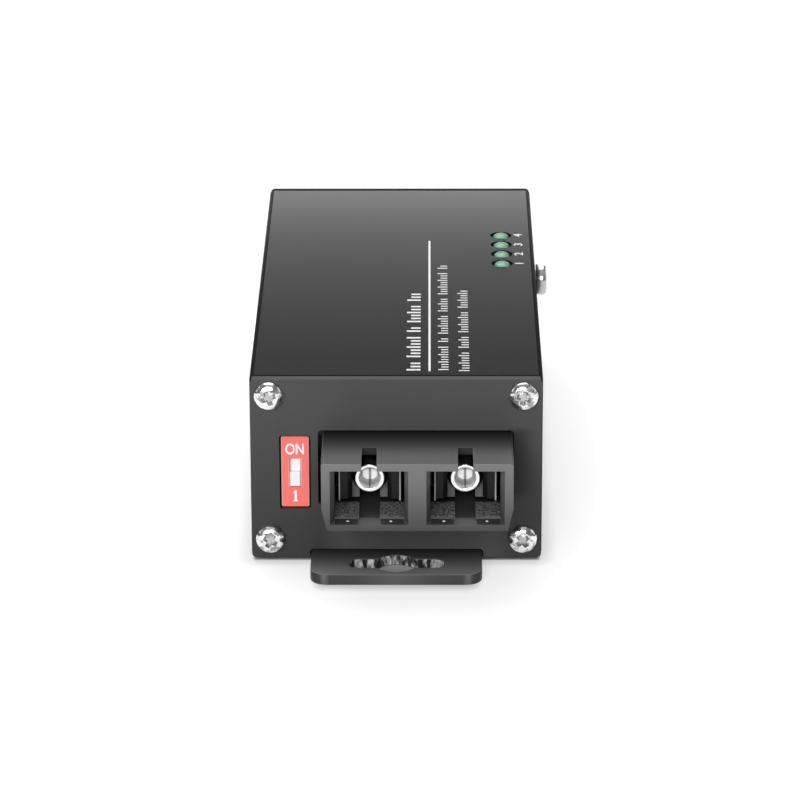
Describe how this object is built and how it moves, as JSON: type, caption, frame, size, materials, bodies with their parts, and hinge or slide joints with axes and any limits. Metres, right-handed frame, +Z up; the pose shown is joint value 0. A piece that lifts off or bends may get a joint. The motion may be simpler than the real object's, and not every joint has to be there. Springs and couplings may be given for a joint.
{
  "type": "fibre media converter",
  "caption": "Small black converter with a duplex fibre port in front, a copper network port and a power terminal behind, and a keyholed mounting bar under its case.",
  "frame": {"origin": "centre of the mounting bar's underside, the face the converter stands on", "axes": "+Z up, +X to the right seen from the front, front panel and fibre port facing -Y, rear panel facing +Y"},
  "size_m": [0.0418, 0.1017, 0.0263],
  "materials": {
    "case_black": "fine satin black anodising",
    "panel_black": "satin black powder coat",
    "bar_black": "satin black powder coat",
    "screw_chrome": "bright plated",
    "washer_steel": "bright zinc plated",
    "board_green": "solder mask over glass laminate",
    "port_black": "fine moulded texture",
    "latch_black": "moulded",
    "barrel_metal": "bright turned",
    "ceramic_grey": "polished zirconia",
    "can_metal": "bright plated",
    "switch_red": "semi-gloss moulded",
    "slider_white": "moulded",
    "pin_tin": "tinned",
    "lamp_green": "diffused green lens",
    "block_black": "moulded",
    "jack_black": "moulded",
    "shield_metal": "bright nickel plated",
    "contact_gold": "gold flash",
    "terminal_green": "moulded",
    "clamp_steel": "zinc plated",
    "chip_black": "moulded epoxy",
    "ferrite_grey": "matt ferrite"
  },
  "bodies": {
    "case": {"case_extrusion": "case_black", "front_panel": "panel_black", "rear_panel": "panel_black", "front_screws": "screw_chrome", "rear_screws": "screw_chrome", "mounting_bar": "bar_black", "bar_screws": "screw_chrome", "ground_screw": "screw_chrome", "ground_flat_washer": "washer_steel", "ground_lock_washer": "washer_steel", "main_board": "board_green", "port_housing": "port_black", "module_cover": "port_black", "module_board": "board_green", "module_pins": "pin_tin", "dip_body": "switch_red", "dip_pins": "pin_tin", "lamp_block": "block_black", "lamp_leads": "pin_tin", "jack_housing": "jack_black", "jack_shield": "shield_metal", "jack_contacts": "contact_gold", "terminal_header": "terminal_green", "header_pins": "pin_tin", "converter_chip": "chip_black", "magnetics": "chip_black", "crystal": "can_metal", "power_inductor": "ferrite_grey", "regulator": "chip_black", "memory_chip": "chip_black", "capacitor_1": "can_metal", "capacitor_2": "can_metal", "sleeve_barrel_left": "barrel_metal", "split_sleeve_left": "ceramic_grey", "fibre_stub_left": "ceramic_grey", "latch_insert_left": "latch_black", "optical_can_left": "can_metal", "sleeve_barrel_right": "barrel_metal", "split_sleeve_right": "ceramic_grey", "fibre_stub_right": "ceramic_grey", "latch_insert_right": "latch_black", "optical_can_right": "can_metal", "lamp_1": "lamp_green", "lamp_2": "lamp_green", "lamp_3": "lamp_green", "lamp_4": "lamp_green"},
    "switch_slider": {"dip_slider": "slider_white"},
    "power_plug": {"terminal_plug": "terminal_green"},
    "clamp_screw_left": {"clamp_screw_left": "clamp_steel"},
    "clamp_screw_right": {"clamp_screw_right": "clamp_steel"},
    "clamp_cage_left": {"clamp_cage_left": "clamp_steel"},
    "clamp_cage_right": {"clamp_cage_right": "clamp_steel"}
  },
  "joints": [
    {"name": "switch_slide", "type": "slide", "parent": "case", "child": "switch_slider", "axis": [0, 0, 1], "range_m": [0, 0.00185]},
    {"name": "plug_pull", "type": "slide", "parent": "case", "child": "power_plug", "axis": [0, 1, 0], "range_m": [0, 0.008]},
    {"name": "clamp_left_turn", "type": "hinge", "parent": "power_plug", "child": "clamp_screw_left", "pos_m": [-0.0121, 0.04522, 0.0165], "axis": [0, 0, -1], "range_deg": [0, 1080]},
    {"name": "clamp_left_lift", "type": "slide", "parent": "power_plug", "child": "clamp_cage_left", "axis": [0, 0, 1], "range_m": [0, 0.0015]},
    {"name": "clamp_right_turn", "type": "hinge", "parent": "power_plug", "child": "clamp_screw_right", "pos_m": [-0.0083, 0.04522, 0.0165], "axis": [0, 0, -1], "range_deg": [0, 1080]},
    {"name": "clamp_right_lift", "type": "slide", "parent": "power_plug", "child": "clamp_cage_right", "axis": [0, 0, 1], "range_m": [0, 0.0015]}
  ],
  "couplings": [
    {"joint": "clamp_left_turn", "follows": "clamp_left_lift", "rad_per_m": 12566},
    {"joint": "clamp_right_turn", "follows": "clamp_right_lift", "rad_per_m": 12566}
  ]
}
